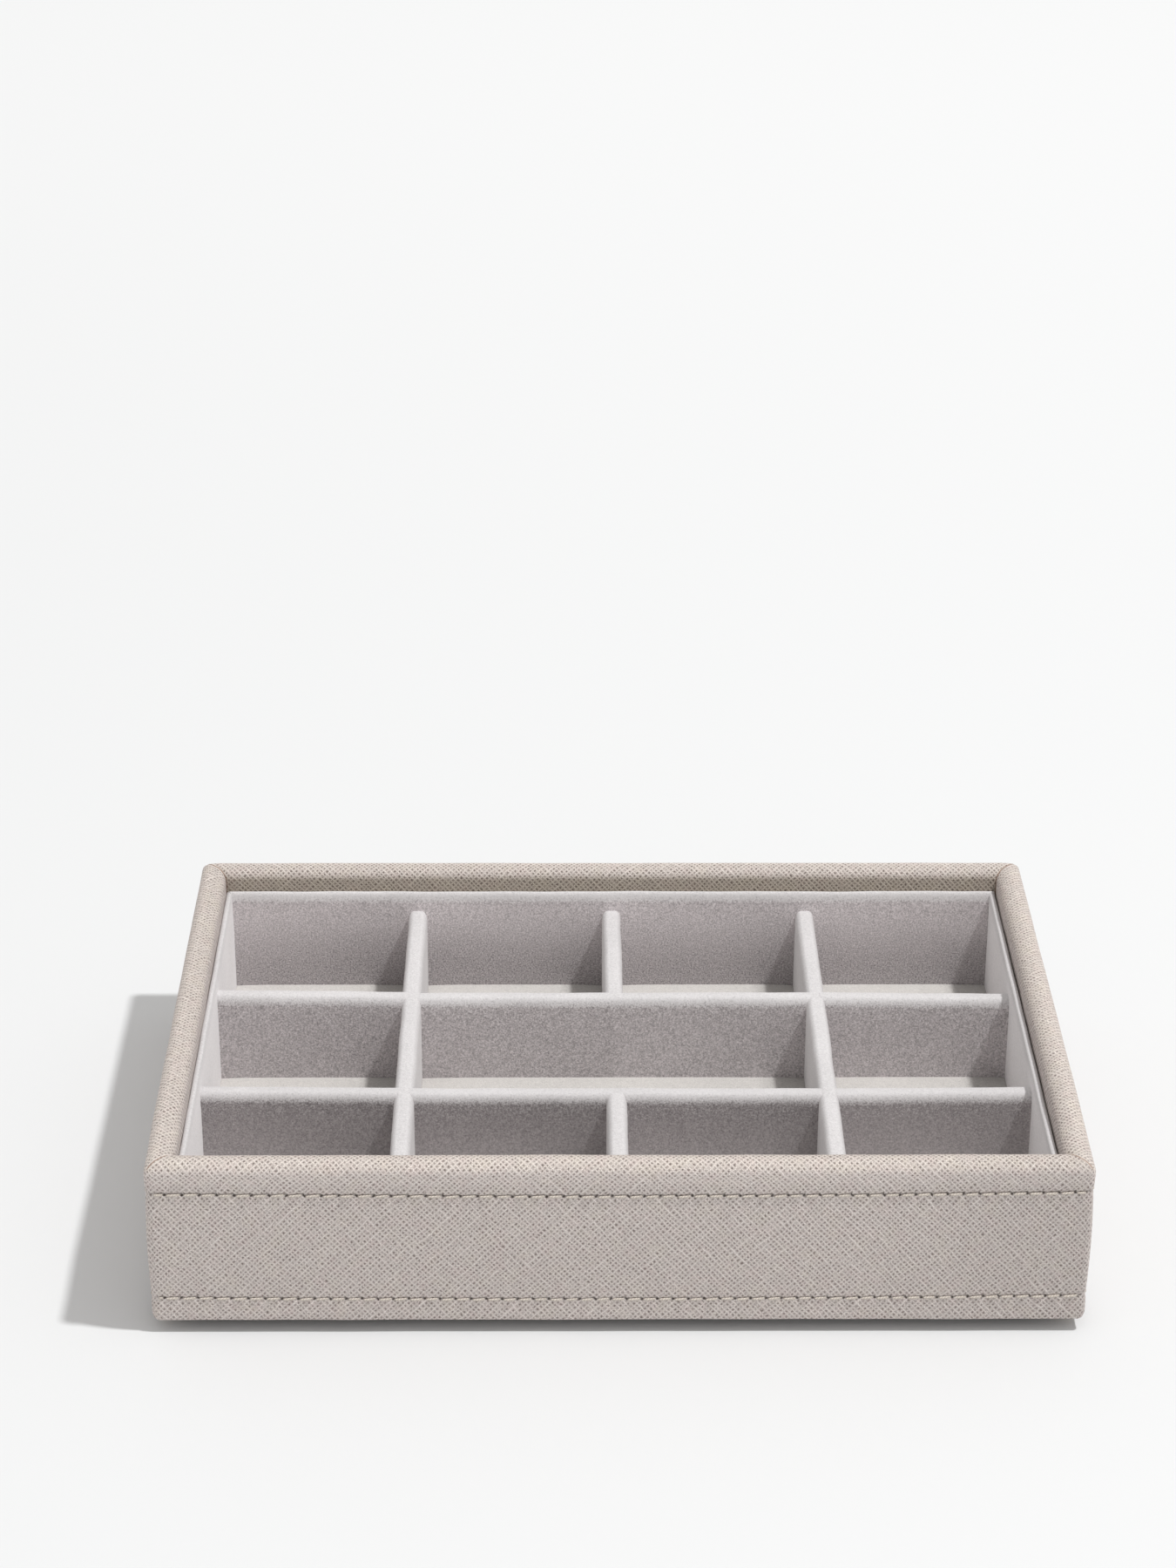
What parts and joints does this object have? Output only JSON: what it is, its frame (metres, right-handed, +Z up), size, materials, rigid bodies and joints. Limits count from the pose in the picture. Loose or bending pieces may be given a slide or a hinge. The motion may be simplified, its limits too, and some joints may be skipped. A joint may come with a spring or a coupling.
{
  "type": "jewelry tray",
  "caption": "Stackable rectangular jewelry tray with stitched leather-covered walls and a velvet-lined insert divided into open compartments.",
  "frame": {"origin": "centre of the plinth's underside, on the surface that the tray stands on", "axes": "+X to the right along the tray's width, +Y to the back, +Z up"},
  "size_m": [0.1806, 0.1254, 0.0385],
  "materials": {
    "leather": "matte cross-hatched grain, warm taupe",
    "thread": "twisted thread, light beige",
    "velvet": "short velvet pile, pale warm grey",
    "felt": "short felt, grey",
    "board": "fibreboard, unpainted",
    "card": "grey board"
  },
  "bodies": {
    "root": {"front_cover": "leather", "front_wall_board": "board", "front_top_stitches": "thread", "front_bottom_stitches": "thread", "front_lining_card": "card", "front_lining_velvet": "velvet", "back_cover": "leather", "back_wall_board": "board", "back_top_stitches": "thread", "back_bottom_stitches": "thread", "back_lining_card": "card", "back_lining_velvet": "velvet", "left_cover": "leather", "left_wall_board": "board", "left_top_stitches": "thread", "left_bottom_stitches": "thread", "left_lining_card": "card", "left_lining_velvet": "velvet", "right_cover": "leather", "right_wall_board": "board", "right_top_stitches": "thread", "right_bottom_stitches": "thread", "right_lining_card": "card", "right_lining_velvet": "velvet", "base_board": "board", "plinth_board": "board", "plinth_felt": "felt", "floor_board": "card", "floor_velvet": "velvet", "left_long_divider_core": "card", "left_long_divider_velvet": "velvet", "right_long_divider_core": "card", "right_long_divider_velvet": "velvet", "front_cross_divider_core": "card", "front_cross_divider_velvet": "velvet", "rear_cross_divider_core": "card", "rear_cross_divider_velvet": "velvet", "front_short_divider_core": "card", "front_short_divider_velvet": "velvet", "rear_short_divider_core": "card", "rear_short_divider_velvet": "velvet"}
  },
  "joints": []
}
